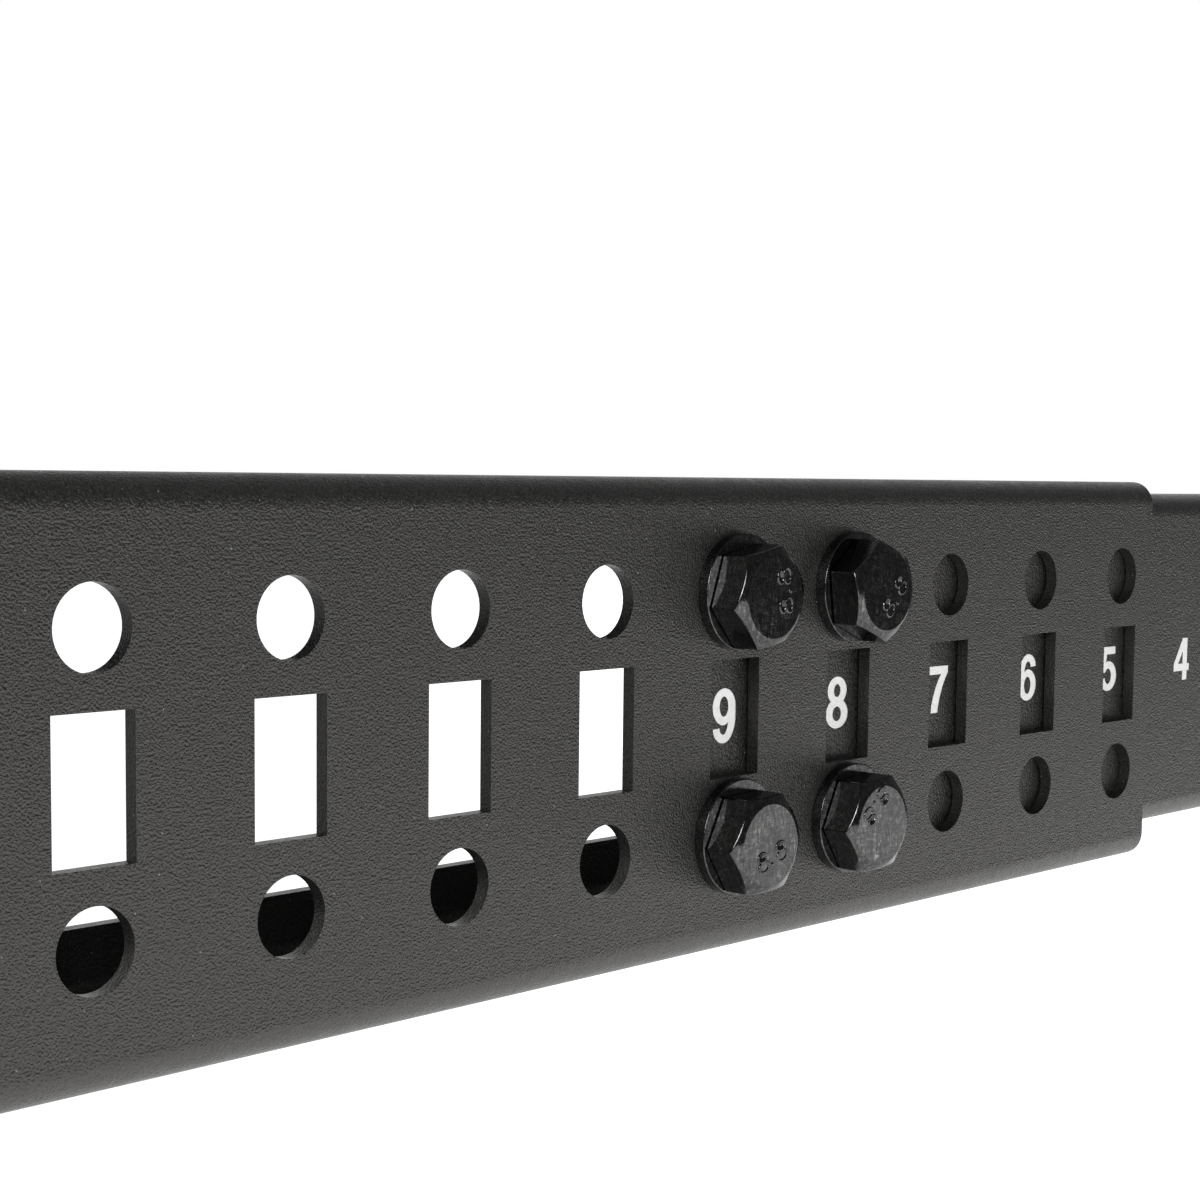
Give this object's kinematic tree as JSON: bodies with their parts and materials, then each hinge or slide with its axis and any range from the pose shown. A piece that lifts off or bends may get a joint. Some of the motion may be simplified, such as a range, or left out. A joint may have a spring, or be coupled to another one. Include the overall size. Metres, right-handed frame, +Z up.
{
  "type": "depth adjustable side rail of an open frame rack",
  "caption": "Telescoping side rail of an open frame rack: nested steel channels with round holes and sight windows, held at the chosen length by hex bolts.",
  "frame": {"origin": "centre of the two hole pattern at the front end, on the outer face of the web", "axes": "+X along the rail from the front post to the rear post, +Y into the rack, +Z up"},
  "size_m": [0.9844, 0.0419, 0.0653],
  "materials": {
    "powder_coat": "fine textured matte black powder coat",
    "black_steel": "black oxide, semi gloss",
    "zinc_steel": "bright zinc",
    "white_ink": "matte screen print"
  },
  "bodies": {
    "root": {"front_rail": "powder_coat", "rear_rail": "powder_coat", "bolt_upper_left": "black_steel", "washer_upper_left": "black_steel", "rivet_nut_upper_left": "zinc_steel", "bolt_lower_left": "black_steel", "washer_lower_left": "black_steel", "rivet_nut_lower_left": "zinc_steel", "bolt_upper_right": "black_steel", "washer_upper_right": "black_steel", "rivet_nut_upper_right": "zinc_steel", "bolt_lower_right": "black_steel", "washer_lower_right": "black_steel", "rivet_nut_lower_right": "zinc_steel"}
  },
  "joints": []
}
